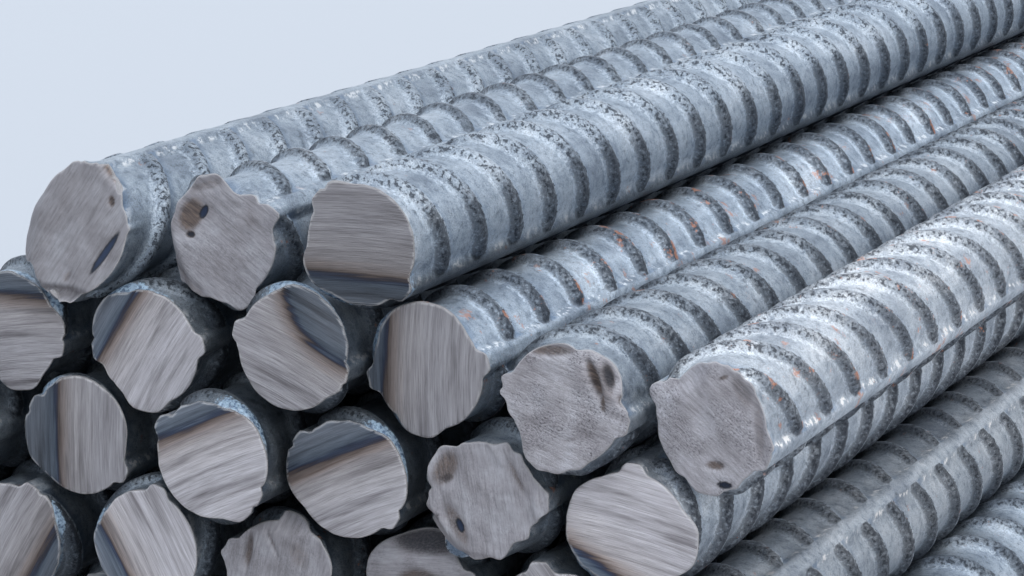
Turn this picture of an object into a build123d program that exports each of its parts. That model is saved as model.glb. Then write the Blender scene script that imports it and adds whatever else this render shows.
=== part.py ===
from build123d import *
import math
import os
from collections import namedtuple

# A loose bundle of ribbed reinforcing bars, all in millimetres.
# The bars lie along Y, with the cut ends that show at the low end of Y, and Z is up.
# Each solid has the outline over its ribs, so the bars bear on each other where the real ones do.

# One bar
bar_length = 6000.0
core_diameter = 31.0
crescent_rib_height = 2.4
crescent_rib_offset = 7.0
crescent_rib_half_angle = 80.0
long_rib_height = 2.2
long_rib_width = 5.0

# The stack
seat_clearance = 0.3
bottom_row_gaps = (13.0, 21.0, 0.5, 5.5, 0.3, 0.3, 4.5)

# The cut ends
saw_tilt = 1.5
shear_tilt = 6.0
pressed_corner_tilt = 38.0
pressed_corner_depth = 3.5

core_radius = core_diameter / 2
crest_radius = core_radius + crescent_rib_height
long_rib_radius = core_radius + long_rib_height
bearing_distance = 2 * crest_radius + seat_clearance

# twist turns the long ribs about the bar, counted from level, as seen from the cut ends.
# front and back slide the ends along Y. facing is the side of the rim where the cut falls back,
# counted like the twist, which on a sheared end is also where the blade pressed the corner.
Bar = namedtuple("Bar", "name twist front back cut facing")

TOP_ROW = (
    Bar("bar_a1", 8, 2, 14, "sheared", 150),
    Bar("bar_a2", 28, 7, -9, "sheared", 200),
    Bar("bar_a3", -30, -2, 5, "sawn", 80),
)
SECOND_ROW = (
    Bar("bar_b1", -7, 2, -12, "sawn", 250),
    Bar("bar_b2", 13, 1, 8, "sawn", 20),
    Bar("bar_b3", -4, -4, -3, "sawn", 110),
    Bar("bar_b4", 18, 4, 16, "sawn", 340),
    Bar("bar_b5", -8, -1, -7, "sheared", 50),
    Bar("bar_b6", -9, 7, 3, "sheared", 135),
)
THIRD_ROW = (
    Bar("bar_c1", 1, -6, 10, "sawn", 300),
    Bar("bar_c2", -31, 0, -5, "sawn", 180),
    Bar("bar_c3", -25, -12, 2, "sawn", 60),
    Bar("bar_c4", -22, -3, 12, "sawn", 90),
    Bar("bar_c5", 10, 0, -14, "sheared", 230),
    Bar("bar_c6", 89, 6, 6, "sawn", 10),
)
FOURTH_ROW = (
    Bar("bar_d1", 1, 5, -8, "sawn", 120),
    Bar("bar_d2", 70, -4, 9, "sawn", 315),
    Bar("bar_d3", 89, -7, -2, "sawn", 200),
    Bar("bar_d4", -19, -5, 15, "sheared", 95),
    Bar("bar_d5", 24, 2, -11, "sheared", 80),
    Bar("bar_d6", 109, 4, 4, "sawn", 270),
    Bar("bar_d7", 56, 0, -4, "sawn", 30),
)
BOTTOM_ROW = (
    Bar("bar_e1", 8, 3, 7, "sawn", 70),
    Bar("bar_e2", -11, -5, -6, "sheared", 85),
    Bar("bar_e3", 19, 6, 11, "sawn", 190),
    Bar("bar_e4", -19, -2, 1, "sawn", 330),
    Bar("bar_e5", 12, 4, -10, "sheared", 100),
    Bar("bar_e6", -9, -7, 13, "sawn", 240),
    Bar("bar_e7", 15, 1, -1, "sawn", 45),
    Bar("bar_e8", -20, 5, 5, "sawn", 160),
)


def bar_section():
    """The outline over the ribs: a round core, a crescent on each side and two long ribs."""
    end_angle = math.radians(crescent_rib_half_angle)
    end_across = core_radius * math.cos(end_angle) - crescent_rib_offset
    end_up = core_radius * math.sin(end_angle)
    crescent_radius = math.hypot(end_across, end_up)
    upper_crescent = Pos(0, crescent_rib_offset) * Circle(crescent_radius)
    lower_crescent = Pos(0, -crescent_rib_offset) * Circle(crescent_radius)
    crest_circle = Circle(crest_radius)
    long_ribs = Rectangle(2 * crest_radius, long_rib_width) & Circle(long_rib_radius)
    return Circle(core_radius) + (upper_crescent & crest_circle) + (lower_crescent & crest_circle) + long_ribs


def cut_plane(bar, tilt, depth):
    """A plane across the front end that leans back by tilt towards the bar's facing side."""
    facing = math.radians(bar.facing)
    lean = math.radians(tilt)
    rim = Vector(math.cos(facing), 0, math.sin(facing)) * core_radius
    outward = Vector(math.cos(facing) * math.sin(lean), -math.cos(lean), math.sin(facing) * math.sin(lean))
    origin = Vector(0, bar.front, 0) if depth is None else Vector(0, bar.front + depth, 0) + rim
    return Plane(origin=origin, z_dir=outward)


def make_bar(bar, section):
    """One bar about its own axis, with its front end cut and its back end sawn square."""
    reach = 3 * core_radius
    back_face = Plane(origin=(0, bar_length + bar.back, 0), x_dir=(1, 0, 0), z_dir=(0, -1, 0))
    solid = extrude(back_face * Rot(0, 0, bar.twist) * section, amount=bar_length + bar.back - bar.front + reach)
    if bar.cut == "sawn":
        return split(solid, bisect_by=cut_plane(bar, saw_tilt, None), keep=Keep.BOTTOM)
    solid = split(solid, bisect_by=cut_plane(bar, shear_tilt, None), keep=Keep.BOTTOM)
    return split(solid, bisect_by=cut_plane(bar, pressed_corner_tilt, pressed_corner_depth), keep=Keep.BOTTOM)


def bottom_row_places():
    """Centres of the bars that lie on the floor, from left to right."""
    places = [Vector(0, 0, crest_radius)]
    for gap in bottom_row_gaps:
        places.append(places[-1] + Vector(2 * crest_radius + gap, 0, 0))
    return places


def seat_between(left, right):
    """Centre of a bar that lies against two others, on the upper side of the line that joins them."""
    across = right - left
    rise = math.sqrt(bearing_distance ** 2 - (across.length / 2) ** 2)
    upward = Vector(-across.Z, 0, across.X).normalized()
    return (left + right) * 0.5 + upward * rise


def row_above(places):
    """Centres of a row that lies in the grooves of the row below it."""
    return [seat_between(left, right) for left, right in zip(places, places[1:])]


def stack_places():
    """Every bar with the centre of its section, the rows from the floor up."""
    bottom = bottom_row_places()
    fourth = row_above(bottom)
    third = row_above(fourth)
    second = row_above(third)
    outer_bar = seat_between(second[-1], third[-1])
    second.append(outer_bar)
    top = row_above(second[:len(TOP_ROW) + 1])
    placed = []
    for row, places in (
        (BOTTOM_ROW, bottom),
        (FOURTH_ROW, fourth),
        (THIRD_ROW, third),
        (SECOND_ROW, second),
        (TOP_ROW, top),
    ):
        placed.extend(zip(row, places))
    return placed


def build_bundle():
    """All bars by name, with the origin under the middle of the bundle."""
    section = bar_section()
    bars = {}
    for bar, place in stack_places():
        bars[bar.name] = Pos(place.X, 0, place.Z) * make_bar(bar, section)
    box = Compound(list(bars.values())).bounding_box()
    middle = box.center()
    to_origin = Pos(-middle.X, -middle.Y, -box.min.Z)
    return {name: to_origin * solid for name, solid in bars.items()}


os.makedirs("parts", exist_ok=True)
for node, solid in build_bundle().items():
    export_step(solid, f"parts/{node}.step")
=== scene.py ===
import math
from collections import namedtuple

import bpy
import numpy as np
from mathutils import Matrix, Vector


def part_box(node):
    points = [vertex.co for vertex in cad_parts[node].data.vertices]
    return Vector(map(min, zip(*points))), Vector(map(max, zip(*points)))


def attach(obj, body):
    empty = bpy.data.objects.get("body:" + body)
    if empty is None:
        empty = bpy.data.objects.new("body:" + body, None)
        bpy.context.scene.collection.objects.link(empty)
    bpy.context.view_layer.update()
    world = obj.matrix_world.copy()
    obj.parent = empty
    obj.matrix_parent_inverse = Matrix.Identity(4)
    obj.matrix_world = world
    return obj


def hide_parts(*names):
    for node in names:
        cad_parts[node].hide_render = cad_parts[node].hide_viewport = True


# A bundle of ribbed reinforcing bars. Sizes are in millimetres and become metres when a mesh is made.
# Each bar of the frame is replaced by one mesh that carries its ribs, its cut end and its finish.
MM = 0.001

# Section of a bar. A rib keeps its full height up to near its ends, by its fullness and rounding.
CORE_RADIUS = 15.5
RIB_HEIGHT = 2.4
RIB_END_ANGLE = 84.0
RIB_BLUNT_ANGLE = 6.0
RIB_FULLNESS = 1.8
RIB_ROUNDING = 8
LONG_RIB_HEIGHT = 2.2
LONG_RIB_HALF_TOP = 1.6
LONG_RIB_HALF_FOOT = 4.0

# Ribs along a bar
PITCH = 20.8
RIB_HALF_TOP = 1.1
RIB_HALF_FOOT = 3.7

# Cut ends, with their tilts in degrees
SAW_TILT = 1.5
SHEAR_TILT = 6.0
CORNER_TILT = 38.0
CORNER_DEPTH = 3.5
RIM_BEVEL = 0.25

# How deep the unevenness of a cut end is, and how long its waves are
Wave = namedtuple("Wave", "depth size")
SAWN_WAVE = Wave(0.03, 9)
TORN_WAVE = Wave(0.16, 11)
TORN_RIPPLE = Wave(0.06, 3.2)
RIPPLE_SEED = 7
WAVE_COUNT = 18

# The rim at the cut: how ragged it is, its burr, and how far its dents and lips stand in or out
RIM_RADIUS = 17.0
RIM_RAGGED = Wave(0.06, 5.0)
TORN_RIM_SIZE = 9.0
BURR_RAGGED = 0.14
BURR_HEIGHT = 0.3
DEEPEST_DENT = 4.0
HIGHEST_LIP = 3.6

# How far behind the cut these reach along a bar
BURR_START = 0.3
BURR_LENGTH = 1.6
DENT_LENGTH = 7.0
CRIMP_LENGTH = 2.5
CRUST_AND_HIGHLIGHT_LENGTH = 4.0

# Where the mesh gets coarser, as distances behind the cut end
FINE_LENGTH = 62.0
MIDDLE_LENGTH = 600.0
SEAM_LENGTH = 1.5
ROW_MARGIN = 0.12

# Camera, measured from the middle of the cut ends
FOCAL_PIXELS = 2905.0
FRAME_WIDTH = 1024
SENSOR_WIDTH = 36.0
AZIMUTH = math.radians(25.76)
ELEVATION = math.radians(15.14)
ROLL = math.radians(3.93)
TARGET = (74.89, -3001.8, 137.19)
DISTANCE = 718.2
NEAREST_SEEN = 0.01
FARTHEST_SEEN = 200

# Light: a soft lamp from above on the right, and a dome whose tone changes towards DIM_SIDE
LAMP_STRENGTH = 1.9
LAMP_SPREAD = math.radians(40)
LAMP_FROM = (0.4, -0.05, 0.9)
DOME_STRENGTH = 0.95
DIM_SIDE = (0.72, -0.62, -0.55)
DOME_TONES = (
    (0.0, (1.05, 1.13, 1.24, 1)),
    (0.35, (0.95, 1.02, 1.12, 1)),
    (0.62, (1.0, 1.06, 1.14, 1)),
    (0.86, (0.95, 0.99, 1.04, 1)),
)
FLOOR_REACH = 60.0

Side = namedtuple("Side", "lean phase")
Saw = namedtuple("Saw", "streak tint_side tint_edge bow", defaults=(0,))
Bar = namedtuple("Bar", "name twist upper lower facing cut detail")

# twist turns the long ribs, counter-clockwise from level as seen from the cut ends.
# A side's lean is the way its ribs run along Y for each millimetre of arc, and its phase is where the
# first of them crosses the middle of that side. upper follows the long rib that twist gives.
# facing is the side of the rim where the cut falls back. cut is None on a sheared end, and on a sawn one
# it gives the way the saw's streaks run, the side with the heat tint, where its edge lies and how it bows.
# detail says how much of the bar shows: a long stretch of it, its end alone, or nothing.
BARS = (
    Bar("a1", -84, Side(0.67, 15.9), Side(-0.27, 1.6), 150, None, "long"),
    Bar("a2", 38, Side(0.49, 4.1), Side(-0.6, -2), 200, None, "long"),
    Bar("a3", -38, Side(-0.36, 8.9), Side(0.45, 2.1), 80, Saw(6.7, 273, 9.3), "long"),
    Bar("b1", -10, Side(0.4, 8.3), Side(-0.4, 3), 250, Saw(15, 95, 9.8), "end"),
    Bar("b2", 13, Side(-0.35, 4.9), Side(0.45, 1.8), 20, Saw(61, 151, 11), "end"),
    Bar("b3", -10, Side(0.2, 1.9), Side(-0.4, 10), 110, Saw(-16.4, 50, 7.4, 0.02), "end"),
    Bar("b4", 18, Side(0.2, 0.4), Side(-0.45, -2.4), 340, Saw(93, 183, 12.4), "long"),
    Bar("b5", -8, Side(-0.33, 13.2), Side(0.45, 0), 50, None, "long"),
    Bar("b6", -19, Side(-0.8, 0), Side(0.4, -2), 135, None, "long"),
    Bar("c1", 5, Side(0.4, 3), Side(-0.4, 9), 300, Saw(5, 265, 12), "end"),
    Bar("c2", -25, Side(0.2, 0), Side(-0.3, -4), 180, Saw(93, 183, 7.5), "end"),
    Bar("c3", -25, Side(0.25, 3.4), Side(-0.4, 8), 60, Saw(30, 120, 10.4), "end"),
    Bar("c4", -29, Side(0.25, 3.1), Side(-0.3, -5.1), 90, Saw(30, 120, 7.4), "end"),
    Bar("c5", 10, Side(0.4, -5.4), Side(-0.4, -4.3), 230, None, "end"),
    Bar("c6", 94, Side(0.2, 0), Side(0.35, 1.2), 10, Saw(-4, 248, 13.5), "long"),
    Bar("d1", 5, Side(0.4, 5), Side(-0.4, 5), 120, Saw(40, 130, 11), "end"),
    Bar("d2", 68, Side(0.4, 2), Side(-0.4, 9), 315, Saw(63, 333, 10.5), "end"),
    Bar("d3", 82, Side(-0.3, 3), Side(0.4, 5), 200, Saw(-56, 214, 11.8), "end"),
    Bar("d4", -20, Side(0.4, 4), Side(-0.4, 1), 95, None, "end"),
    Bar("d5", 28, Side(-0.4, 3), Side(0.4, 8), 80, None, "end"),
    Bar("d6", 102, Side(0.4, 1), Side(-0.4, 4), 270, Saw(-50, 220, 13), "end"),
    Bar("d7", 56, Side(0.6, -1.4), Side(-0.42, 4.6), 30, Saw(20, 110, 12), "long"),
    Bar("e1", 8, Side(0.4, 7), Side(-0.4, 7), 70, Saw(75, 165, 12), "hidden"),
    Bar("e2", -11, Side(-0.4, 2), Side(0.4, 6), 85, None, "hidden"),
    Bar("e3", 19, Side(0.4, 5), Side(-0.4, 9), 190, Saw(10, 100, 12), "hidden"),
    Bar("e4", -19, Side(-0.4, 9), Side(0.4, 3), 330, Saw(50, 140, 12), "hidden"),
    Bar("e5", 12, Side(0.4, 1), Side(-0.4, 8), 100, None, "hidden"),
    Bar("e6", -9, Side(-0.4, 6), Side(0.4, 5), 240, Saw(-30, 60, 12), "hidden"),
    Bar("e7", 15, Side(0.4, 3), Side(-0.4, 4), 45, Saw(85, 175, 12), "hidden"),
    Bar("e8", -20, Side(-0.4, 8), Side(0.4, 2), 160, Saw(0, 90, 12), "hidden"),
)

# The saw marks on the back end of a bar whose front end is sheared
BACK_SAW = Saw(20, 110, 12)

# Bars on the outside of the stack keep more of their ribs along the whole length
OUTER_BARS = ("a1", "a2", "a3", "b1", "b4", "b5", "b6", "c1", "c6", "d1", "d7", "e1", "e8")

# Sheared ends: how far the face leans back in degrees and towards which side, the way its grain runs, how
# pitted it is and how deep the blade pressed its corner
Shear = namedtuple("Shear", "tilt facing grain pitted pressed")
SHEARS = {
    "a1": Shear(24, 92, 68, 0.15, 3.5),
    "a2": Shear(8, 50, 150, 0.35, 0.3),
    "b5": Shear(4, 41, 165, 1.0, 3.5),
    "b6": Shear(7, 180, 150, 0.8, 2.0),
    "c5": Shear(3, 60, 105, 0.3, 1.0),
    "d4": Shear(6, 95, 85, 0.4, 3.5),
    "d5": Shear(6, 80, 10, 0.4, 3.5),
}

# Dents and torn lips of the sheared ends: the middle angle, the half width and how far the rim moves
Dent = namedtuple("Dent", "angle half_width push")
DENTS = {
    "a1": (
        Dent(65, 12, 1), Dent(40, 16, -0.8), Dent(14, 5, 0.8), Dent(222, 18, -1.2), Dent(276, 16, -1),
        Dent(84, 16, 1.4), Dent(108, 16, 1.9), Dent(150, 22, -1.2), Dent(190, 10, 0.4),
        Dent(248, 18, -1.2),
    ),
    "a2": (
        Dent(14, 12, -1.4), Dent(29, 9, 0.9), Dent(47, 12, -1.4), Dent(82, 24, -1.7),
        Dent(128, 18, 1.3), Dent(148, 14, 0.9), Dent(226, 26, 3.2), Dent(252, 12, 1),
        Dent(288, 26, 1.1), Dent(72, 14, -0.8), Dent(14, 8, 0.8),
    ),
    "b5": (
        Dent(13, 8, -0.8), Dent(42, 24, 1.1), Dent(82, 13, -1.1), Dent(174, 7, -1),
        Dent(213, 26, -1.3), Dent(253, 10, 0.6), Dent(290, 14, 1.1),
    ),
    "b6": (
        Dent(52, 12, 1), Dent(72, 14, -2), Dent(132, 26, -1.6), Dent(145, 12, -1.8),
        Dent(162, 8, 1.4), Dent(190, 14, -0.6),
        Dent(90, 10, 0.8), Dent(240, 14, 1), Dent(300, 12, 1.1), Dent(358, 12, 1.6),
    ),
    "c5": (
        Dent(74, 11, 1.6), Dent(137, 12, 0.6), Dent(186, 14, -1.6), Dent(314, 26, -2.6), Dent(24, 12, 1.2),
        Dent(59, 9, 1.1), Dent(119, 8, 0.5), Dent(236, 14, 1.4), Dent(280, 12, -0.9), Dent(342, 14, -1.8),
    ),
    "d4": (Dent(62, 14, -1.2), Dent(172, 12, 1.2)),
    "d5": (Dent(110, 30, -1),),
}

# A crimped stretch of rim: its middle angle, half width, the spacing of its folds and their depth
Crimp = namedtuple("Crimp", "angle half_width spacing depth")
CRIMPS = {"a1": Crimp(150, 44, 10, 0.7), "b5": Crimp(205, 30, 14, 0.3)}

# Marks on the sheared ends, by their place in the section, size and turn: how brown and how blue the heat
# left them, and how deep they are pressed in. A mark is whole in its core and fades out beyond it.
Mark = namedtuple("Mark", "across up half_length half_width angle brown blue depth")
MARK_CORE = 0.35
MARK_FADE = 0.75
MARKS = {
    "a1": (
        Mark(10, -3, 8.2, 1.4, 65, 0.3, 1, 0.6),
        Mark(10, -4.6, 7, 3, 65, 0.4, 0, 0),
        Mark(7.8, 9.8, 2.2, 1.3, 120, 0.9, 0.4, 0.6),
        Mark(6.5, 16.5, 8, 2.4, 152, 1, 0.3, 1.8),
        Mark(0.4, -10.5, 2.4, 1.3, 70, 0.5, 0.1, 0.3),
        Mark(-9.5, 3, 12, 3.2, 75, 0, 0, -0.5),
        Mark(-2, -15, 13, 2.1, 4, 0.45, 0, 2),
    ),
    "a2": (
        Mark(-6.4, 6.8, 2.7, 1.4, 65, 0.3, 1, 0.6),
        Mark(-9.8, 5.6, 6.4, 4.6, 70, 1, 0, 0.4),
        Mark(-9.4, 0.4, 1.9, 1.3, 0, 1, 0.6, 0.5),
        Mark(7, 7.5, 5, 3.2, 140, 0.35, 0, 0),
        Mark(-8.8, -13.2, 11.5, 2.5, 148, 0.5, 0, 0.8),
        Mark(-6, 14, 7, 2, 20, 0.5, 0, 0.6),
    ),
    "b5": (
        Mark(7, 8, 6.8, 1.6, 118, 1, 0, 1.7),
        Mark(9.8, 6.6, 8.6, 4, 115, 0.55, 0, 0.3),
        Mark(10.4, 8.8, 5, 1.8, 118, 0.7, 0.5, 0.8),
        Mark(10.2, 2, 3.5, 0.8, 105, 0.9, 0.2, 0.4),
        Mark(15.2, 3.4, 2.6, 1.6, 130, 0.9, 0.4, 1.4),
        Mark(-5, 13, 9, 2, 8, 0.75, 0, 0.7),
        Mark(2.6, -8.6, 3.2, 1.2, 25, 0.5, 0.1, 0.3),
        Mark(-13, 3, 8, 1.6, 70, 0.35, 0, 0.2),
    ),
    "b6": (
        Mark(-9, 11.5, 9, 5, 42, 0, 0, 1.6),
        Mark(7.6, 10.4, 7, 3.6, 125, 0.55, 0, 0.4),
        Mark(2.3, -9.8, 3.8, 1.6, 10, 0.9, 0.2, 0.6),
        Mark(5.2, -14.2, 3, 1.3, 8, 0.5, 0.8, 0.6),
        Mark(2.4, 12.8, 2.2, 0.8, 30, 0.8, 0.2, 0.3),
        Mark(-1.8, -0.6, 4, 2.4, 60, 0.3, 0, 0.2),
        Mark(13.2, 1.6, 11, 2.2, 100, 0.5, 0, 0.8),
    ),
    "c5": (
        Mark(-12, 6.4, 7.5, 4.4, 65, 0.8, 0, 0.5),
        Mark(-11.5, 3.8, 3.2, 1.8, 30, 0.8, 0.4, 0.3),
        Mark(1.4, 14, 5.5, 1.1, 130, 0, 0, -0.7),
        Mark(-7.6, -7.8, 9, 3, 125, 0.7, 0, 0.9),
        Mark(-6.8, -8, 2.6, 1.4, 120, 0.2, 1, 0.5),
        Mark(-11.5, -8.5, 6.5, 0.9, 125, 0, 0, -0.8),
        Mark(14.8, 1, 5, 1.5, 105, 0, 0, -1.2),
        Mark(7.6, 8, 7.5, 1.2, 125, 0.6, 0.1, 0.9),
        Mark(-2, -15.6, 9, 1.6, 5, 0.3, 0, 0.8),
    ),
    "d4": (
        Mark(-9.6, 6, 7, 1.6, 88, 0.7, 0.3, 1),
        Mark(-2.6, 9.5, 5.5, 0.9, 125, 0.5, 0.1, 0.7),
        Mark(6, 8, 6, 4, 130, 0.5, 0, 0),
    ),
    "d5": (
        Mark(-1, 15, 15, 5, 5, 0.5, 0.5, 1.2),
        Mark(-1, 5, 9, 4, 10, 0.85, 0, 0.4),
    ),
}

# How dark the near flanks of the ribs are on top of a bar and at its side, and how high they turn lighter.
# The dark is partly the scale and partly painted shade, deeper where a side turns from the light and on b4
# under a3.
Flank = namedtuple("Flank", "top side turn")
PLAIN_FLANK = Flank(0.5, 0.95, 0.6)
FLANK_TURN_WIDTH = 0.38
FLANKS = {
    "a1": Flank(0.12, 0.3, 0.3),
    "a2": Flank(0.6, 0.8, 0.6),
    "a3": Flank(0.1, 0.88, 0.4),
    "b4": Flank(0.75, 0.95, 0.6),
    "b6": Flank(0.35, 0.8, 0.55),
    "d7": Flank(0.7, 0.85, 0.6),
}

# How much rust a bar's skin has
PLAIN_RUST = 0.3
RUST = {"b4": 1.0, "b6": 0.85, "d4": 0.8, "b5": 0.5, "a3": 0.1, "a1": 0.2}

# Painted shade on a stretch of skin below a long rib: its middle angle, half width and how light it stays
LedgeShade = namedtuple("LedgeShade", "angle half_width tone")
LEDGE_SHADE = {"a3": LedgeShade(-56, 27, 0.3)}
LEDGE_SHADE_FADE = 6.0

# How light a bar's skin is: painted shade on the bars inside the stack, painted light on b4, b6, c6 and d7
PLAIN_SIDE_TONE = 1.0
SIDE_TONE_AND_PAINTED_LIGHT = {
    "a1": 0.87, "a3": 1.04, "b1": 0.65, "b2": 0.5, "b3": 0.65, "b4": 1.2, "b5": 0.92, "b6": 1.5,
    "c1": 0.6, "c2": 0.6, "c3": 0.46, "c4": 0.43, "c5": 0.75, "c6": 1.55,
    "d1": 0.6, "d2": 0.65, "d3": 0.65, "d4": 0.6, "d5": 0.6, "d6": 0.65, "d7": 1.12,
}

# How far a bar's skin is less blue than the others
NEUTRAL = {"b6": 1.0, "c6": 1.0, "d7": 1.0, "a3": 0.1, "b5": 0.2}

# How light a bar's cut end is
PLAIN_FACE_TONE = 0.93
FACE_TONE = {
    "a1": 0.67, "a3": 0.66, "b2": 1.17, "b3": 0.89, "b4": 0.83, "b5": 1.29, "b6": 1.37,
    "c2": 0.85, "c3": 1.22, "c4": 1.06, "c5": 1.04, "c6": 1.43, "d3": 1.33,
}

# Crust behind a burr, with painted highlight: its middle angle, half width and how far it reaches along the
# bar
CrustAndHighlight = namedtuple("CrustAndHighlight", "angle half_width length")
CRUSTS_AND_HIGHLIGHTS = {
    "a3": CrustAndHighlight(273, 130, 6),
    "b2": CrustAndHighlight(108, 75, 4.5),
    "b3": CrustAndHighlight(66, 105, 9),
    "c3": CrustAndHighlight(56, 66, 7),
    "c4": CrustAndHighlight(42, 66, 7),
}

# How dense a mesh is: its rows over one pitch, as distances from a rib's crest, and its columns around the
# bar, as angles beside each long rib and how many lie between two long ribs
Density = namedtuple("Density", "rows beside between")
FINE_ROWS = (-3.7, -3.0, -2.3, -1.6, -1.0, 0, 1.0, 1.6, 2.3, 3.0, 3.7, 6.8, 10.4, 14.0)
FINE = Density(FINE_ROWS, (0, 3, 6, 9, 12, 15), 29)
TORN = FINE._replace(between=55)
MIDDLE = Density((-3.6, -2.6, -1.2, 1.2, 2.6, 3.6, 7.0, 10.4, 13.8), (0, 6, 13), 15)
LOW = Density((-3.4, -1.1, 1.1, 3.4, 10.4), (5, 14), 7)
COARSE = Density((-3.0, 0, 3.0), (9,), 5)
PLAIN = Density((0, 10.4), (0,), 3)

# Rings of points on a cut end, as shares of the way from its middle to its rim
RIM_RING = 0.985
SAWN_RINGS = (RIM_RING, 0.95, 0.9, 0.84, 0.77, 0.7, 0.62, 0.54, 0.45, 0.36, 0.27, 0.18, 0.09)
TORN_RINGS = (RIM_RING, *(1 - 0.04 * step for step in range(1, 25)))
HIDDEN_RINGS = (RIM_RING, 0.9, 0.6, 0.3)

Zone = namedtuple("Zone", "density start end")
Grid = namedtuple("Grid", "points values faces first last")

# Material slots of a bar's mesh
SKIN = 0
CUT_END = 1

# Attributes of a bar's mesh, which its materials read. On the skin, tint says how far it is less blue, and
# burr where the crust with its painted highlight lies. On a sheared end burr says how pitted it is. A sheared
# end has its tint at NOT_SAWN.
VALUE_NAMES = (
    "rib_phase", "rib_height", "long_rib", "flank_dark", "rust", "streak_along", "streak_across",
    "tint", "brown", "blue", "edge", "tone", "burr",
)
NOT_SAWN = -40
STREAK_BEND = 400
SEED_SPACING = 40

# The heat tint's ramp starts this far on the cool side of the tint's edge, and is this long
TINT_START = 14.0
TINT_SPAN = 20.0


def smooth_step(value):
    value = np.clip(value, 0, 1)
    return value * value * (3 - 2 * value)


def degrees_apart(angle, other):
    """How far two angles in degrees are apart, the short way round."""
    return np.abs(np.mod(angle - other + 180, 360) - 180)


def turn_axes(across, up, angle):
    """Places in the section, along an axis at an angle in degrees and aside from it."""
    turn = math.radians(angle)
    along = across * math.cos(turn) + up * math.sin(turn)
    aside = up * math.cos(turn) - across * math.sin(turn)
    return along, aside


def wave_field(seed, across, up, size):
    """A soft random field made of seeded waves of about the given size, mostly between -1 and 1."""
    rng = np.random.default_rng(seed)
    total = np.zeros(np.broadcast(across, up).shape)
    for _ in range(WAVE_COUNT):
        angle = rng.uniform(0, 2 * math.pi)
        number = 2 * math.pi / (size * rng.uniform(0.6, 1.7))
        shift = rng.uniform(0, 2 * math.pi)
        total += np.sin(number * (across * math.cos(angle) + up * math.sin(angle)) + shift)
    return total / math.sqrt(WAVE_COUNT)


def seed_of(bar):
    return ord(bar.name[0]) * 10 + int(bar.name[1])


def shear_of(bar):
    """How a sheared end lies and looks. One that is hidden has no row of its own."""
    return SHEARS.get(bar.name, Shear(SHEAR_TILT, bar.facing, 0, 0.5, CORNER_DEPTH))


def crest_height(half_angle):
    """Height of the rib crests over the core, by the angle from the long rib at the side's start."""
    from_middle = np.abs(np.degrees(half_angle) - 90)
    share = np.minimum(from_middle, RIB_END_ANGLE) / RIB_END_ANGLE
    crescent = np.minimum(1, RIB_FULLNESS * (1 - share ** RIB_ROUNDING))
    blunt_end = smooth_step((RIB_END_ANGLE - from_middle) / RIB_BLUNT_ANGLE)
    return RIB_HEIGHT * crescent * blunt_end


def half_of(angle):
    """For angles from the long rib at twist: whether they lie in the lower side, and where in their side."""
    turned = np.mod(angle, 2 * math.pi)
    lower = turned > math.pi
    return lower, np.where(lower, turned - math.pi, turned)


def crest_line(bar, angle):
    """Where along Y a crest lies at each angle, behind the front plane, up to whole pitches."""
    lower, half_angle = half_of(angle)
    lean = np.where(lower, bar.lower.lean, bar.upper.lean)
    phase = np.where(lower, bar.lower.phase, bar.upper.phase)
    return phase + lean * CORE_RADIUS * (half_angle - math.pi / 2)


def burr_side(bar, turned):
    """1 where the saw left the bar and pushed up a burr, 0 at the other side and on sheared bars."""
    if bar.cut is None:
        return np.zeros(np.shape(turned))
    return smooth_step((np.cos(turned - math.radians(bar.cut.tint_side)) + 0.1) / 0.8)


def rim_lean(bar, turned):
    """How far a sheared face lies behind the front plane at the rim, from its lean alone."""
    shear = shear_of(bar)
    return math.tan(math.radians(shear.tilt)) * CORE_RADIUS * np.cos(turned - math.radians(shear.facing))


def dent_push(bar, turned, depth):
    """How far the dents and torn lips of a sheared end move the rim."""
    push = 0
    fade = 1 - smooth_step((depth - rim_lean(bar, np.radians(turned))) / DENT_LENGTH)
    for dent in DENTS.get(bar.name, ()):
        away = degrees_apart(turned, dent.angle)
        push = push + dent.push * (1 - smooth_step(away / dent.half_width)) * fade
    crimp = CRIMPS.get(bar.name)
    if crimp:
        away = degrees_apart(turned, crimp.angle)
        folds = np.maximum(0, np.cos(2 * math.pi * away / crimp.spacing)) ** 2
        stretch = 1 - smooth_step(away / crimp.half_width)
        push = push - crimp.depth * folds * stretch * (1 - smooth_step(depth / CRIMP_LENGTH))
    return push


def end_push(bar, angle, depth):
    """How far the rim is pushed out at the cut, by burrs and, on a sheared end, by dents and lips."""
    turned = np.degrees(angle) + bar.twist
    ring = np.radians(turned)
    size = RIM_RAGGED.size if bar.cut else TORN_RIM_SIZE
    ragged = wave_field(seed_of(bar), RIM_RADIUS * np.cos(ring), RIM_RADIUS * np.sin(ring), size)
    burr = burr_side(bar, ring)
    at_cut = 1 - smooth_step((depth - BURR_START) / BURR_LENGTH)
    push = ((RIM_RAGGED.depth + BURR_RAGGED * burr) * ragged + BURR_HEIGHT * burr) * at_cut
    return push if bar.cut else push + dent_push(bar, turned, depth)


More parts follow.
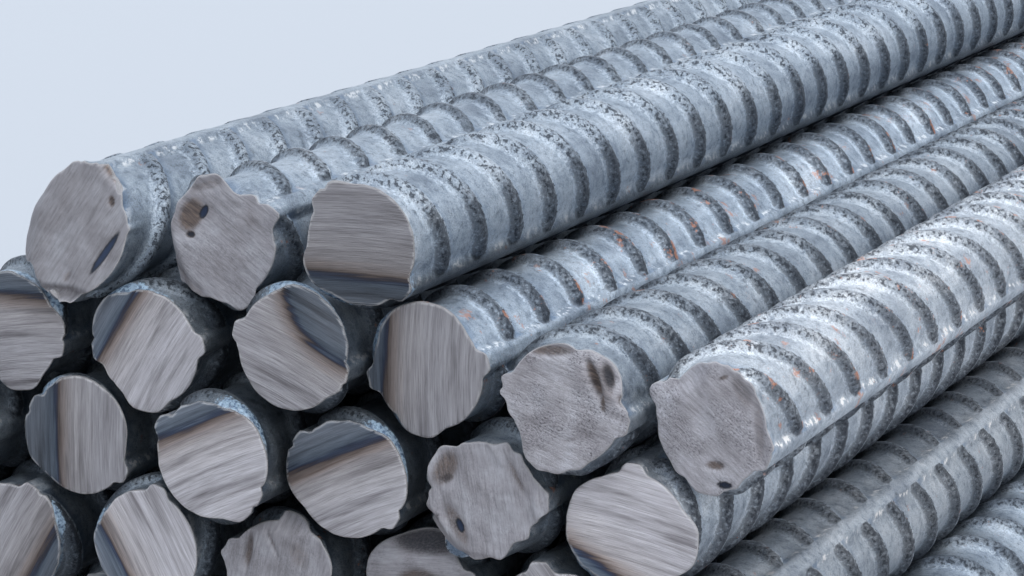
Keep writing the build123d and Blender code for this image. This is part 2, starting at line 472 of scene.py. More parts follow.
def surface(bar, angle, depth):
    """Radius, rib phase, rib height and long rib mask, by the angle from twist and depth behind the front."""
    _, half_angle = half_of(angle)
    phase = (depth - crest_line(bar, angle)) / PITCH
    from_crest = np.abs(phase - np.round(phase)) * PITCH
    profile = 1 - smooth_step((from_crest - RIB_HALF_TOP) / (RIB_HALF_FOOT - RIB_HALF_TOP))
    height = crest_height(half_angle)
    from_long_rib = np.minimum(half_angle, math.pi - half_angle) * CORE_RADIUS
    long_rib_side = (from_long_rib - LONG_RIB_HALF_TOP) / (LONG_RIB_HALF_FOOT - LONG_RIB_HALF_TOP)
    long_rib = 1 - smooth_step(long_rib_side)
    relief = np.maximum(height * profile, LONG_RIB_HEIGHT * long_rib)
    radius = CORE_RADIUS + np.clip(relief + end_push(bar, angle, depth), -DEEPEST_DENT, HIGHEST_LIP)
    return radius, phase, height / RIB_HEIGHT, long_rib


def column_angles(density):
    """Angles around the bar from the first long rib, counter-clockwise."""
    edge = density.beside[-1]
    right = sorted({-a for a in density.beside} | set(density.beside))
    inner = np.linspace(edge, 180 - edge, density.between + 2)[1:-1]
    half = [a for a in right if a >= 0] + list(inner) + [180 + a for a in right if a < 0]
    return np.radians(np.array(half + [180 + a for a in half]))


def value_table(named, shape):
    """Values by attribute name as a row for each point, with 0 for an attribute that isn't given."""
    values = np.zeros((*shape, len(VALUE_NAMES)))
    for name, value in named.items():
        values[..., VALUE_NAMES.index(name)] = value
    return values.reshape(-1, len(VALUE_NAMES))


def side_values(bar, turned, depth, phase, height, long_rib):
    """The attributes of the skin: where its ribs, painted shade, rust and crust are, and how light it is."""
    flank = FLANKS.get(bar.name, PLAIN_FLANK)
    upward = smooth_step((np.sin(turned) - flank.turn) / FLANK_TURN_WIDTH)
    # Painted light and shade for each bar
    tone = SIDE_TONE_AND_PAINTED_LIGHT.get(bar.name, PLAIN_SIDE_TONE)
    # Painted shade: the skin below a3's long rib is made darker
    ledge_shade = LEDGE_SHADE.get(bar.name)
    if ledge_shade:
        away = degrees_apart(np.degrees(turned), ledge_shade.angle)
        tone = tone * (1 - (1 - ledge_shade.tone) * (1 - smooth_step((away - ledge_shade.half_width) / LEDGE_SHADE_FADE)))
    crust_and_highlight = CRUSTS_AND_HIGHLIGHTS.get(bar.name)
    if crust_and_highlight:
        away = degrees_apart(np.degrees(turned), crust_and_highlight.angle)
        burr = (1 - smooth_step(away / crust_and_highlight.half_width)) * (1 - smooth_step(depth / crust_and_highlight.length))
    else:
        burr = burr_side(bar, turned) * (1 - smooth_step(depth / CRUST_AND_HIGHLIGHT_LENGTH))
    named = dict(rib_phase=phase, rib_height=height, long_rib=long_rib, tone=tone, burr=burr)
    # Painted shade: the near flanks darker on the sides that turn from the light
    named["flank_dark"] = flank.side + (flank.top - flank.side) * upward
    named["rust"] = RUST.get(bar.name, PLAIN_RUST)
    named["tint"] = NEUTRAL.get(bar.name, 0)
    return value_table(named, phase.shape)


def zone_grid(bar, zone, start_depth, end_depth):
    """A tube of quads between two depths, its rows laid along the ribs."""
    angles = column_angles(zone.density)
    count = len(angles)
    line = crest_line(bar, angles)
    # Neighbouring columns stay within half a pitch, so that rows never tear at the long ribs
    steps = np.round(np.diff(line) / PITCH)
    line = line - PITCH * np.concatenate([[0], np.cumsum(steps)])
    closing = int(round((line[-1] - line[0]) / PITCH))
    first_turn = math.floor((start_depth.min() - line.max()) / PITCH) - 1
    last_turn = math.ceil((end_depth.max() - line.min()) / PITCH) + 1
    turns = range(first_turn, last_turn + 1)
    base = np.array([turn * PITCH + row for turn in turns for row in zone.density.rows])
    raw = line[:, None] + base[None, :]
    # Rows beyond the ends of the zone gather on its first and last ring, where their faces vanish
    inside = (raw > start_depth[:, None] + ROW_MARGIN) & (raw < end_depth[:, None] - ROW_MARGIN)
    first = inside.argmax(axis=1) - 1
    last = inside.shape[1] - inside[:, ::-1].argmax(axis=1)
    depth = np.clip(raw, start_depth[:, None], end_depth[:, None])
    for column in range(count):
        depth[column, :first[column] + 1] = start_depth[column]
        depth[column, last[column]:] = end_depth[column]
    radius, phase, height, long_rib = surface(bar, angles[:, None], depth)
    turned = angles[:, None] + math.radians(bar.twist) + np.zeros(depth.shape)
    points = np.stack([radius * np.cos(turned), depth, radius * np.sin(turned)], axis=-1)
    height = np.broadcast_to(height, phase.shape)
    long_rib = np.broadcast_to(long_rib, phase.shape)
    values = side_values(bar, turned, depth, phase, height, long_rib)
    rows = np.arange(base.size)
    ids = np.clip(rows[None, :], first[:, None], last[:, None])
    ids = ids + (np.arange(count) * base.size)[:, None]
    shifted = np.clip(rows + closing * len(zone.density.rows), 0, base.size - 1)
    quads = []
    for column in range(count):
        here = ids[column]
        there = ids[(column + 1) % count]
        if column == count - 1:
            there = there[shifted]
        quads.append(np.stack([here[:-1], here[1:], there[1:], there[:-1]], axis=-1))
    ring_first = ids[np.arange(count), first]
    ring_last = ids[np.arange(count), last]
    return Grid(points.reshape(-1, 3), values, np.concatenate(quads), ring_first, ring_last)


def zip_rings(ring_a, angles_a, ring_b, angles_b):
    """Triangles between two closed rings that run the same way round."""
    faces = []
    i = 0
    j = 0
    while i < len(ring_a) or j < len(ring_b):
        next_a = angles_a[i + 1] if i + 1 < len(ring_a) else angles_a[0] + 2 * math.pi
        next_b = angles_b[j + 1] if j + 1 < len(ring_b) else angles_b[0] + 2 * math.pi
        a = ring_a[i % len(ring_a)]
        b = ring_b[j % len(ring_b)]
        if j >= len(ring_b) or (i < len(ring_a) and next_a <= next_b):
            faces.append((a, b, ring_a[(i + 1) % len(ring_a)]))
            i += 1
        else:
            faces.append((a, b, ring_b[(j + 1) % len(ring_b)]))
            j += 1
    return faces


def in_mark(mark, across, up):
    """1 in the middle of a mark, falling to 0 at its edge."""
    along, aside = turn_axes(across - mark.across, up - mark.up, mark.angle)
    reach = np.sqrt((along / mark.half_length) ** 2 + (aside / mark.half_width) ** 2)
    return 1 - smooth_step((reach - MARK_CORE) / MARK_FADE)


def uneven(wave, seed, across, up):
    return wave.depth * wave_field(seed, across, up, wave.size)


def cut_depth(bar, across, up):
    """How far behind the front plane the cut end lies, at places in the section."""
    seed = seed_of(bar)
    reach, _ = turn_axes(across, up, bar.facing)
    if bar.cut:
        return math.tan(math.radians(SAW_TILT)) * reach + uneven(SAWN_WAVE, seed, across, up)
    shear = shear_of(bar)
    pressed = shear.pressed + math.tan(math.radians(CORNER_TILT)) * (reach - CORE_RADIUS)
    leaning = math.tan(math.radians(shear.tilt)) * turn_axes(across, up, shear.facing)[0]
    depth = np.maximum(leaning, pressed)
    depth = depth + uneven(TORN_WAVE, seed, across, up) + uneven(TORN_RIPPLE, RIPPLE_SEED, across, up)
    for mark in MARKS.get(bar.name, ()):
        depth = depth + mark.depth * in_mark(mark, across, up)
    return depth


def rim_depth(bar, angles):
    """The cut end at the rim, where the radius itself depends on the depth."""
    depth = np.zeros(len(angles))
    turned = angles + math.radians(bar.twist)
    for _ in range(4):
        radius = surface(bar, angles, depth)[0]
        depth = cut_depth(bar, radius * np.cos(turned), radius * np.sin(turned)) + RIM_BEVEL
    return depth


class MeshParts:
    """Collects points, faces and attributes of one bar."""

    def __init__(self):
        self.points = []
        self.values = []
        self.faces = []
        self.face_materials = []
        self.count = 0

    def add_points(self, points, values):
        start = self.count
        self.points.append(points)
        self.values.append(values)
        self.count += len(points)
        return start

    def add_faces(self, faces, material):
        for face in faces:
            corners = list(dict.fromkeys(int(corner) for corner in face))
            if len(corners) > 2:
                self.faces.append(corners)
                self.face_materials.append(material)


def cap_values(bar, across, up, edge):
    """The attributes of a cut end: its streaks and heat tint, or its grain, pits and scorched marks."""
    shift = seed_of(bar) * SEED_SPACING
    named = {"edge": edge, "tone": FACE_TONE.get(bar.name, PLAIN_FACE_TONE)}
    if bar.cut:
        along, aside = turn_axes(across, up, bar.cut.streak)
        named["streak_along"] = along
        named["streak_across"] = aside + along ** 2 / STREAK_BEND + shift
        reach, beside = turn_axes(across, up, bar.cut.tint_side)
        named["tint"] = reach - bar.cut.tint_edge - bar.cut.bow * beside ** 2
        return value_table(named, across.shape)
    shear = shear_of(bar)
    along, aside = turn_axes(across, up, shear.grain)
    named.update(streak_along=along, streak_across=aside + shift, tint=NOT_SAWN, burr=shear.pitted)
    named.update(brown=np.zeros(across.shape), blue=np.zeros(across.shape))
    for mark in MARKS.get(bar.name, ()):
        share = in_mark(mark, across, up)
        named["brown"] = np.maximum(named["brown"], share * mark.brown)
        named["blue"] = np.maximum(named["blue"], share * mark.blue)
    return value_table(named, across.shape)


def fan(ring, centre):
    """Triangles from each side of a ring to a centre point."""
    return np.stack([ring, np.roll(ring, -1), np.full(len(ring), centre)], axis=-1)


def add_middle(parts, bar, depth):
    values = cap_values(bar, np.zeros(1), np.zeros(1), 0.0)
    return parts.add_points(np.array([[0.0, depth, 0.0]]), values)


def add_cap(parts, bar, ring, ring_points, shares):
    """The cut end: rings of points from the rim to the middle."""
    previous = ring
    for share in shares:
        across = ring_points[:, 0] * share
        up = ring_points[:, 2] * share
        points = np.stack([across, cut_depth(bar, across, up), up], axis=-1)
        edge = 1.0 if share == RIM_RING else 0.0
        current = parts.add_points(points, cap_values(bar, across, up, edge)) + np.arange(len(ring))
        quads = np.stack([previous, np.roll(previous, -1), np.roll(current, -1), current], axis=-1)
        parts.add_faces(quads, CUT_END)
        previous = current
    centre = add_middle(parts, bar, float(cut_depth(bar, np.zeros(1), np.zeros(1))[0]))
    parts.add_faces(fan(previous, centre), CUT_END)


def add_back(parts, bar, ring, ring_points, depth):
    """The back end, sawn square on every bar: a ring just inside the rim, and the middle."""
    sawn = bar._replace(cut=bar.cut or BACK_SAW)
    across = ring_points[:, 0] * RIM_RING
    up = ring_points[:, 2] * RIM_RING
    points = np.stack([across, np.full(len(ring), depth), up], axis=-1)
    inner = parts.add_points(points, cap_values(sawn, across, up, 0.0)) + np.arange(len(ring))
    parts.add_faces(np.stack([np.roll(ring, -1), ring, inner, np.roll(inner, -1)], axis=-1), CUT_END)
    centre = add_middle(parts, sawn, depth)
    parts.add_faces(fan(inner, centre)[:, ::-1], CUT_END)


def zones_of(bar):
    """The stretches of a bar from its cut end back, each with its own density of mesh."""
    near = FINE if bar.cut else TORN
    return (
        Zone(MIDDLE if bar.detail == "hidden" else near, 0, FINE_LENGTH),
        Zone(MIDDLE if bar.detail == "long" else LOW, FINE_LENGTH, MIDDLE_LENGTH),
        Zone(COARSE if bar.name in OUTER_BARS else PLAIN, MIDDLE_LENGTH, None),
    )


def cap_rings(bar):
    if bar.detail == "hidden":
        return HIDDEN_RINGS
    return SAWN_RINGS if bar.cut else TORN_RINGS


def plain_front(bar, lowest):
    """The front plane's place along Y, from the lowest point of the frame's bar."""
    tilt = math.radians(SAW_TILT if bar.cut else SHEAR_TILT)
    angles = np.radians(np.arange(0, 360, 0.5))
    reach = (CORE_RADIUS + RIB_HEIGHT) * np.cos(angles - math.radians(bar.facing))
    return lowest - (math.tan(tilt) * reach).min()


def build_bar(bar):
    """One bar as a mesh: its skin in zones from the cut end back, and its two ends."""
    low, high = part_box("bar_" + bar.name)
    centre = Vector((low[0] + high[0], 0, low[2] + high[2])) / 2
    front = plain_front(bar, low[1] / MM)
    length = high[1] / MM - front
    parts = MeshParts()
    for zone in zones_of(bar):
        angles = column_angles(zone.density)
        at_cut = zone.start == 0
        start = rim_depth(bar, angles) if at_cut else np.full(len(angles), zone.start + SEAM_LENGTH)
        end = np.full(len(angles), length if zone.end is None else zone.end)
        grid = zone_grid(bar, zone, start, end)
        if at_cut:
            grid.values[grid.first, VALUE_NAMES.index("edge")] = 1.0
        offset = parts.add_points(grid.points, grid.values)
        parts.add_faces(grid.faces + offset, SKIN)
        if at_cut:
            front_ring = grid.first + offset
            front_points = grid.points[grid.first]
        else:
            parts.add_faces(zip_rings(ring, ring_angles, grid.first + offset, angles), SKIN)
        ring = grid.last + offset
        ring_angles = angles
    add_cap(parts, bar, front_ring, front_points, cap_rings(bar))
    add_back(parts, bar, ring, grid.points[grid.last], length)
    return finish_mesh(bar, parts, centre, front, front_ring, ring)


def finish_mesh(bar, parts, centre, front, front_ring, back_ring):
    points = np.concatenate(parts.points)
    values = np.concatenate(parts.values)
    lengths = np.array([len(face) for face in parts.faces])
    corners = np.concatenate([np.array(face) for face in parts.faces])
    used, corners = np.unique(corners, return_inverse=True)
    points = points[used] * MM
    values = values[used]
    points[:, 0] += centre.x
    points[:, 1] += front * MM
    points[:, 2] += centre.z
    mesh = bpy.data.meshes.new("ribbed_bar_" + bar.name)
    mesh.vertices.add(len(points))
    mesh.vertices.foreach_set("co", points.astype(np.float32).ravel())
    mesh.loops.add(len(corners))
    mesh.loops.foreach_set("vertex_index", corners.astype(np.int32).ravel())
    mesh.polygons.add(len(lengths))
    mesh.polygons.foreach_set("loop_start", (np.cumsum(lengths) - lengths).astype(np.int32))
    mesh.polygons.foreach_set("material_index", np.array(parts.face_materials, dtype=np.int32))
    mesh.polygons.foreach_set("use_smooth", np.ones(len(lengths), dtype=bool))
    mesh.update(calc_edges=True)
    rim = set()
    for loop in (front_ring, back_ring):
        ids = np.searchsorted(used, loop).tolist()
        rim |= {tuple(sorted(pair)) for pair in zip(ids, ids[1:] + ids[:1])}
    ends = np.zeros(len(mesh.edges) * 2, dtype=np.int32)
    mesh.edges.foreach_get("vertices", ends)
    ends = np.sort(ends.reshape(-1, 2), axis=1)
    sharp = np.array([tuple(pair) in rim for pair in ends.tolist()], dtype=bool)
    mesh.edges.foreach_set("use_edge_sharp", sharp)
    for column, name in enumerate(VALUE_NAMES):
        attribute = mesh.attributes.new(name, "FLOAT", "POINT")
        attribute.data.foreach_set("value", values[:, column].astype(np.float32))
    mesh.validate()
    piece = bpy.data.objects.new("ribbed_bar_" + bar.name, mesh)
    bpy.context.collection.objects.link(piece)
    return piece


def linear(level):
    """One channel of a colour as it looks on screen, 0 to 255, as the linear value that a shader wants."""
    share = level / 255
    return ((share + 0.055) / 1.055) ** 2.4 if level > 10 else share / 12.92


def screen_colour(red, green, blue):
    return (linear(red), linear(green), linear(blue), 1)


def fill_ramp(node, stops):
    elements = node.color_ramp.elements
    while len(elements) < len(stops):
        elements.new(0.5)
    for element, (position, colour) in zip(elements, stops):
        element.position = position
        element.color = colour


class NodeTree:
    """Short calls for building a material's nodes. Colours are given as they look on screen, 0 to 255."""

    def __init__(self, name):
        self.material = bpy.data.materials.new(name)
        self.material.use_nodes = True
        self.nodes = self.material.node_tree.nodes
        self.links = self.material.node_tree.links
        self.shader = self.nodes["Principled BSDF"]

    def put(self, socket, value):
        if isinstance(value, bpy.types.NodeSocket):
            self.links.new(value, socket)
        else:
            socket.default_value = value

    def give(self, name, value):
        """Puts a value on an input of the shader."""
        self.put(self.shader.inputs[name], value)

    def attribute(self, name):
        node = self.nodes.new("ShaderNodeAttribute")
        node.attribute_name = name
        return node.outputs["Fac"]

    def place(self):
        return self.nodes.new("ShaderNodeTexCoord").outputs["Object"]

    def math(self, operation, first, second=0.0, third=0.0, clamp=False):
        node = self.nodes.new("ShaderNodeMath")
        node.operation = operation
        node.use_clamp = clamp
        for socket, value in zip(node.inputs, (first, second, third)):
            self.put(socket, value)
        return node.outputs[0]

    def add(self, first, second):
        return self.math("ADD", first, second)

    def minus(self, first, second):
        return self.math("SUBTRACT", first, second)

    def line(self, value, factor, offset):
        """The value times a factor, plus an offset."""
        return self.math("MULTIPLY_ADD", value, factor, offset)

    def product(self, *values):
        total = values[0]
        for value in values[1:]:
            total = self.math("MULTIPLY", total, value)
        return total

    def hump(self, value, start, full, full_end, end):
        """0 up to start, 1 from full to full_end, and 0 again from end on."""
        return self.product(self.band(value, start, full), self.band(value, end, full_end))

    def combine(self, x, y, z):
        node = self.nodes.new("ShaderNodeCombineXYZ")
        for socket, value in zip(node.inputs, (x, y, z)):
            self.put(socket, value)
        return node.outputs[0]

    def scale(self, vector, factors):
        node = self.nodes.new("ShaderNodeVectorMath")
        node.operation = "MULTIPLY"
        self.put(node.inputs[0], vector)
        node.inputs[1].default_value = factors
        return node.outputs[0]

    def noise(self, vector, scale, detail, roughness):
        node = self.nodes.new("ShaderNodeTexNoise")
        self.put(node.inputs["Vector"], vector)
        node.inputs["Scale"].default_value = scale
        node.inputs["Detail"].default_value = detail
        node.inputs["Roughness"].default_value = roughness
        return node.outputs["Fac"]

    def band(self, value, low, high):
        """0 at low, 1 at high, smooth between. With low above high it falls instead."""
        node = self.nodes.new("ShaderNodeMapRange")
        node.interpolation_type = "SMOOTHSTEP"
        self.put(node.inputs["Value"], value)
        rising = low < high
        node.inputs["From Min"].default_value = min(low, high)
        node.inputs["From Max"].default_value = max(low, high)
        node.inputs["To Min"].default_value = 0 if rising else 1
        node.inputs["To Max"].default_value = 1 if rising else 0
        return node.outputs["Result"]

    def ramp(self, value, *stops):
        """A colour by value, between stops that each give a position and a colour."""
        node = self.nodes.new("ShaderNodeValToRGB")
        self.put(node.inputs[0], value)
        fill_ramp(node, [(position, screen_colour(*colour)) for position, *colour in stops])
        return node.outputs[0]

    def mix(self, share, first, second, blend="MIX"):
        node = self.nodes.new("ShaderNodeMix")
        node.data_type = "RGBA"
        node.blend_type = blend
        self.put(node.inputs[0], share)
        for socket, value in ((node.inputs[6], first), (node.inputs[7], second)):
            self.put(socket, screen_colour(*value) if isinstance(value, tuple) else value)
        return node.outputs[2]

    def bump(self, height, distance):
        node = self.nodes.new("ShaderNodeBump")
        node.inputs["Distance"].default_value = distance
        self.put(node.inputs["Height"], height)
        self.links.new(node.outputs[0], self.shader.inputs["Normal"])


Skin = namedtuple("Skin", "place dark mottle chip grain from_crest rough_crest on_rib near_flank")


def skin_fields(tree):
    """What the skin's colour depends on: noises of several sizes, and where a place lies on its rib."""
    place = tree.place()
    dark = tree.attribute("flank_dark")
    phase = tree.attribute("rib_phase")
    mottle = tree.noise(place, 420, 4, 0.65)
    chip = tree.noise(place, 850, 4, 0.65)
    grain = tree.noise(place, 2600, 3, 0.75)
    ragged = tree.product(tree.minus(mottle, 0.5), 2.6)
    ragged = tree.line(tree.minus(chip, 0.5), 4.0, ragged)
    ragged = tree.product(ragged, tree.line(dark, -0.5, 1.0))
    from_crest = tree.product(tree.minus(phase, tree.math("ROUND", phase)), PITCH)
    rough_crest = tree.add(from_crest, ragged)
    on_rib = tree.band(tree.attribute("rib_height"), 0.05, 0.25)
    down_to_foot = tree.line(tree.band(dark, 0.5, 0.9), 0.9, rough_crest)
    near_flank = tree.product(tree.band(down_to_foot, -2.8, -2.1), tree.band(rough_crest, 0.8, 0.3), on_rib)
    return Skin(place, dark, mottle, chip, grain, from_crest, rough_crest, on_rib, near_flank)


def rolled_colour(tree, at):
    """Clouded blue-grey, painted bluer shade beyond each rib, paler before its foot, painted highlights by
    the long ribs.
    """
    cloud = tree.noise(tree.scale(at.place, (1, 0.5, 1)), 70, 4, 0.6)
    skin = tree.ramp(cloud, (0.3, 152, 164, 178), (0.5, 188, 200, 212), (0.7, 218, 227, 236))
    patch = tree.ramp(at.mottle, (0.3, 158, 166, 176), (0.48, 228, 231, 235), (0.7, 255, 255, 255))
    skin = tree.mix(0.8, skin, patch, "MULTIPLY")
    grit = tree.ramp(at.grain, (0.3, 130, 130, 130), (0.48, 220, 220, 220), (0.65, 255, 255, 255))
    skin = tree.mix(0.8, skin, grit, "MULTIPLY")
    # Painted shade: the far side of each rib darker and bluer
    far_flank_shade = tree.product(tree.hump(at.from_crest, 0.8, 1.6, 3.0, 8.0), at.on_rib, 0.5)
    skin = tree.mix(far_flank_shade, skin, (92, 120, 152))
    foot = tree.product(tree.hump(at.rough_crest, -5.4, -4.0, -3.0, -2.4), at.on_rib)
    pale = tree.product(foot, tree.band(at.chip, 0.51, 0.54), 0.36)
    skin = tree.mix(pale, skin, (214, 226, 238))
    # Painted highlights on the shoulders of the long ribs, where the valleys meet them
    shoulder = tree.hump(tree.attribute("long_rib"), 0.05, 0.4, 0.7, 1.0)
    valley = tree.band(tree.math("ABSOLUTE", at.from_crest), 4.5, 6.5)
    shoulder_highlight = tree.product(shoulder, valley, tree.band(at.mottle, 0.53, 0.57), 0.75)
    return tree.mix(shoulder_highlight, skin, (232, 234, 236))


def rib_shade(tree, at):
    """How dark the near flanks, with scale and painted shade, and the flakes at the crests make the ribs, and
    the flakes alone.
    """
    up_to_crest = tree.product(tree.band(at.rough_crest, -3.0, -1.8), tree.band(at.from_crest, 2.0, 1.0))
    at_crest = tree.product(up_to_crest, at.on_rib)
    flakes = tree.product(tree.band(at.chip, 0.53, 0.57), at_crest, tree.line(at.dark, 0.2, 0.75))
    deepening = tree.line(tree.band(at.rough_crest, -3.0, -0.8), 0.3, 0.65)
    shade = tree.math("MAXIMUM", tree.product(at.near_flank, at.dark, deepening), flakes)
    bare = tree.product(tree.band(at.chip, 0.45, 0.39), at.near_flank, 0.22)
    return tree.math("SUBTRACT", shade, bare, clamp=True), flakes


def add_rust(tree, at, skin):
    """Specks of rust, most of them along the crests."""
    on_crest = tree.product(tree.hump(at.from_crest, -0.8, 0.0, 0.8, 1.6), at.on_rib)
    reach = tree.product(tree.attribute("rust"), tree.line(on_crest, 0.06, 0.08))
    rusty = tree.band(tree.add(tree.noise(at.place, 130, 5, 0.75), reach), 0.68, 0.73)
    return tree.mix(tree.product(rusty, 0.6), skin, (184, 126, 96))


def add_crust_and_highlight(tree, at, skin):
    """Pale blue crust behind a burr, partly a painted highlight, and a painted highlight at the rim."""
    broken = tree.add(tree.attribute("burr"), tree.minus(at.chip, 0.5))
    # The crust's pale blue is partly a painted highlight
    crust_and_highlight = tree.product(tree.band(broken, 0.35, 0.55), 0.8)
    skin = tree.mix(crust_and_highlight, skin, tree.ramp(at.chip, (0.42, 88, 112, 140), (0.55, 182, 206, 226)))
    # Painted highlight along the rim at the cut
    rim_highlight = tree.product(tree.attribute("edge"), tree.band(at.mottle, 0.42, 0.56), 0.6)
    return tree.mix(rim_highlight, skin, (212, 214, 218))


def mill_scale():
    """Blue-grey rolled skin, dark on the near flanks of the ribs from scale and painted shade, and chipped at
    their crests.
    """
    tree = NodeTree("mill_scale")
    at = skin_fields(tree)
    shade, flakes = rib_shade(tree, at)
    # Dark scale and painted shade on the near flanks
    skin = tree.mix(shade, rolled_colour(tree, at), (46, 51, 60))
    spots = tree.product(tree.band(tree.noise(at.place, 330, 3, 0.7), 0.62, 0.68), 0.55)
    skin = add_rust(tree, at, tree.mix(spots, skin, (84, 92, 102)))
    skin = tree.mix(tree.attribute("tint"), skin, (255, 247, 240), "MULTIPLY")
    # The tone holds each bar's painted light and shade, and the painted shade below a3's long rib
    skin = tree.mix(1.0, skin, tree.attribute("tone"), "MULTIPLY")
    tree.give("Base Color", add_crust_and_highlight(tree, at, skin))
    tree.give("Metallic", 0.75)
    rough = tree.add(tree.product(at.grain, 0.3), 0.25)
    tree.give("Roughness", tree.add(rough, tree.product(shade, 0.25)))
    relief = tree.add(tree.product(at.grain, 0.7), tree.product(at.mottle, 0.9))
    tree.bump(tree.minus(relief, tree.product(flakes, 0.8)), 0.00034)
    return tree.material


def sawn_colour(tree, along, across, tint):
    """Bright steel with saw streaks, and a heat tint that turns from brown through blue to grey."""
    lines = tree.combine(tree.product(along, 0.035), across, 0.0)
    fine = tree.noise(lines, 3.6, 4, 0.65)
    broad = tree.noise(lines, 0.75, 3, 0.6)
    smudge = tree.noise(tree.combine(tree.product(along, 0.12), across, 5.0), 0.22, 3, 0.6)
    wander = tree.product(tree.minus(broad, 0.5), 4.0)
    smear = tree.product(tree.minus(smudge, 0.5), 5.0)
    heat = tree.add(tree.add(tint, wander), smear)
    heat = tree.math("DIVIDE", tree.add(heat, TINT_START), TINT_SPAN, clamp=True)
    metal = tree.ramp(
        heat,
        (0.0, 209, 208, 215),
        (0.42, 203, 200, 204),
        (0.57, 172, 161, 158),
        (0.64, 112, 98, 92),
        (0.67, 60, 58, 72),
        (0.71, 52, 65, 90),
        (0.76, 98, 111, 127),
        (1.0, 128, 137, 150),
    )
    bands = tree.ramp(broad, (0.3, 172, 168, 168), (0.47, 228, 227, 228), (0.65, 255, 255, 255))
    metal = tree.mix(0.7, metal, bands, "MULTIPLY")
    patches = tree.ramp(smudge, (0.32, 140, 136, 136), (0.44, 228, 227, 227), (0.6, 255, 255, 255))
    metal = tree.mix(0.7, metal, patches, "MULTIPLY")
    streaks = tree.ramp(fine, (0.3, 180, 178, 176), (0.5, 232, 231, 230), (0.68, 255, 255, 255))
    return tree.mix(0.8, metal, streaks, "MULTIPLY"), fine, broad


def torn_colour(tree, along, across, pits, drawn, pitted):
    """Dull grey of a sheared end, dragged along its grain and pitted in patches."""
    section = tree.combine(along, across, 0.0)
    mottle = tree.noise(section, 0.11, 3, 0.6)
    dull = tree.ramp(mottle, (0.3, 156, 154, 160), (0.5, 172, 171, 178), (0.7, 188, 189, 197))
    dragged = tree.ramp(drawn, (0.33, 196, 194, 193), (0.5, 236, 235, 235), (0.66, 255, 255, 255))
    dull = tree.mix(0.75, dull, dragged, "MULTIPLY")
    pit_tone = tree.ramp(pits, (0.36, 92, 88, 90), (0.43, 206, 205, 206), (0.6, 255, 255, 255))
    patchy = tree.line(tree.band(tree.noise(section, 0.1, 2, 0.5), 0.42, 0.58), 0.75, 0.2)
    return tree.mix(tree.product(patchy, pitted), dull, pit_tone, "MULTIPLY")


def add_scorch(tree, colour, pits, drawn):
    """Brown and blue heat marks, broken up by the pits."""
    uneven_pits = tree.minus(pits, 0.5)
    scorch = tree.ramp(drawn, (0.4, 62, 50, 45), (0.6, 108, 90, 78))
    scorched = tree.band(tree.add(uneven_pits, tree.attribute("brown")), 0.2, 0.95)
    colour = tree.mix(tree.product(scorched, 0.85), colour, scorch)
    blued = tree.line(uneven_pits, 0.3, tree.attribute("blue"))
    blue_tone = tree.ramp(blued, (0.3, 38, 35, 40), (0.6, 32, 37, 48), (0.98, 36, 50, 76))
    return tree.mix(tree.band(blued, 0.15, 0.62), colour, blue_tone)


def cut_steel():
    """Sawn ends with streaks and a heat tint at one side, and duller sheared ends with scorched marks."""
    tree = NodeTree("cut_steel")
    along = tree.attribute("streak_along")
    across = tree.attribute("streak_across")
    tint = tree.attribute("tint")
    pitted = tree.attribute("burr")
    sawn = tree.band(tint, NOT_SAWN + 1, NOT_SAWN + 2)
    pits = tree.noise(tree.combine(along, tree.product(across, 1.6), 0.0), 1.4, 5, 0.7)
    drawn = tree.noise(tree.combine(tree.product(along, 0.12), across, 9.0), 1.5, 4, 0.65)
    metal, fine, broad = sawn_colour(tree, along, across, tint)
    dull = torn_colour(tree, along, across, pits, drawn, pitted)
    colour = tree.mix(1.0, tree.mix(sawn, dull, metal), tree.attribute("tone"), "MULTIPLY")
    colour = add_scorch(tree, colour, pits, drawn)
    glint = tree.product(tree.attribute("edge"), tree.band(broad, 0.42, 0.55), tree.line(sawn, 0.35, 0.2))
    tree.give("Base Color", tree.mix(glint, colour, (222, 222, 224)))
    tree.give("Metallic", 0.35)
    tree.give("Roughness", tree.add(tree.product(sawn, -0.12), 0.55))
    torn_relief = tree.line(tree.product(pits, pitted), 1.8, tree.product(drawn, 0.7))
    torn_relief = tree.product(torn_relief, tree.minus(1.0, sawn))
    tree.bump(tree.add(tree.product(fine, sawn), torn_relief), 0.00026)
    return tree.material


def floor_material():
    """Pale where it is seen or mirrored, and darker where it lights the undersides of the bars."""
    tree = NodeTree("pale_floor")
    rays = tree.nodes.new("ShaderNodeLightPath").outputs
    seen = tree.add(rays["Is Camera Ray"], rays["Is Glossy Ray"])
    seen = tree.math("ADD", seen, rays["Is Transmission Ray"], clamp=True)
    tree.give("Base Color", tree.mix(seen, (138, 130, 122), (178, 183, 190)))
    tree.give("Roughness", 0.9)
    tree.give("Specular IOR Level", 0.1)
    return tree.material


def add_floor():
    mesh = bpy.data.meshes.new("floor")
    signs = ((-1, -1), (1, -1), (1, 1), (-1, 1))
    mesh.from_pydata([(x * FLOOR_REACH, y * FLOOR_REACH, 0) for x, y in signs], [], [(0, 1, 2, 3)])
    floor = bpy.data.objects.new("floor", mesh)
    bpy.context.collection.objects.link(floor)
    mesh.materials.append(floor_material())


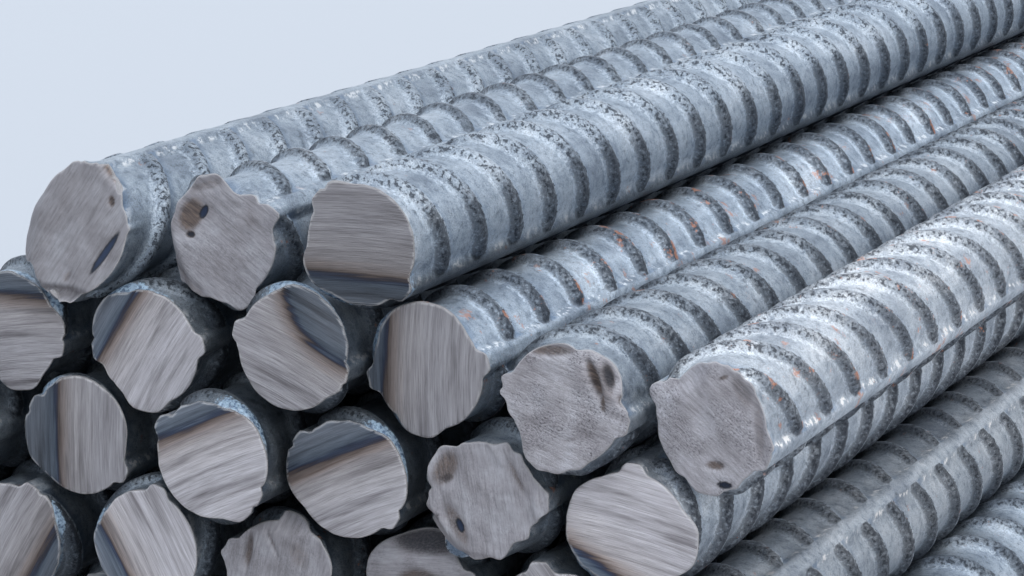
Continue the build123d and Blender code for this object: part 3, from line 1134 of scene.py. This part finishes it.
def add_sky():
    """A pale dome, a little darker low down at the front right."""
    world = bpy.data.worlds.new("studio")
    bpy.context.scene.world = world
    world.use_nodes = True
    nodes = world.node_tree.nodes
    links = world.node_tree.links
    toward = nodes.new("ShaderNodeVectorMath")
    toward.operation = "DOT_PRODUCT"
    toward.inputs[1].default_value = DIM_SIDE
    links.new(nodes.new("ShaderNodeTexCoord").outputs["Generated"], toward.inputs[0])
    spread = nodes.new("ShaderNodeMapRange")
    spread.inputs["From Min"].default_value = -1
    links.new(toward.outputs["Value"], spread.inputs["Value"])
    shade = nodes.new("ShaderNodeValToRGB")
    fill_ramp(shade, DOME_TONES)
    links.new(spread.outputs["Result"], shade.inputs[0])
    background = nodes["Background"]
    links.new(shade.outputs[0], background.inputs["Color"])
    background.inputs["Strength"].default_value = DOME_STRENGTH


def add_lights():
    add_sky()
    sun = bpy.data.lights.new("soft_key", "SUN")
    sun.energy = LAMP_STRENGTH
    sun.angle = LAMP_SPREAD
    lamp = bpy.data.objects.new("soft_key", sun)
    lamp.rotation_euler = Vector(LAMP_FROM).to_track_quat("Z", "Y").to_euler()
    bpy.context.collection.objects.link(lamp)


def add_camera():
    forward = Vector((
        -math.sin(AZIMUTH) * math.cos(ELEVATION),
        math.cos(AZIMUTH) * math.cos(ELEVATION),
        -math.sin(ELEVATION),
    ))
    level = Vector((math.cos(AZIMUTH), math.sin(AZIMUTH), 0))
    upward = level.cross(forward)
    right = level * math.cos(ROLL) + upward * math.sin(ROLL)
    up = upward * math.cos(ROLL) - level * math.sin(ROLL)
    place = (Vector(TARGET) - forward * DISTANCE) * MM
    data = bpy.data.cameras.new("camera")
    data.sensor_width = SENSOR_WIDTH
    data.sensor_fit = "HORIZONTAL"
    data.lens = FOCAL_PIXELS * SENSOR_WIDTH / FRAME_WIDTH
    data.clip_start = NEAREST_SEEN
    data.clip_end = FARTHEST_SEEN
    camera = bpy.data.objects.new("camera", data)
    turn = Matrix((right, up, -forward)).transposed().to_4x4()
    camera.matrix_world = Matrix.Translation(place) @ turn
    bpy.context.collection.objects.link(camera)
    bpy.context.scene.camera = camera


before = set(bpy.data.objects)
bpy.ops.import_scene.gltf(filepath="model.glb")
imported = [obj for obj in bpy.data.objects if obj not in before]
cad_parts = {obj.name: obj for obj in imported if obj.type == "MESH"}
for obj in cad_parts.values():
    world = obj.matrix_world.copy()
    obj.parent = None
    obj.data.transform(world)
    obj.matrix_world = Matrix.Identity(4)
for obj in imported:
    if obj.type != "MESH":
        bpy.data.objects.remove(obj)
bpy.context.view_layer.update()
side_finish = mill_scale()
end_finish = cut_steel()
for bar in BARS:
    piece = build_bar(bar)
    piece.data.materials.append(side_finish)
    piece.data.materials.append(end_finish)
    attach(piece, "root")
    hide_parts("bar_" + bar.name)
add_floor()
add_lights()
add_camera()
bpy.context.scene.view_settings.view_transform = "Standard"
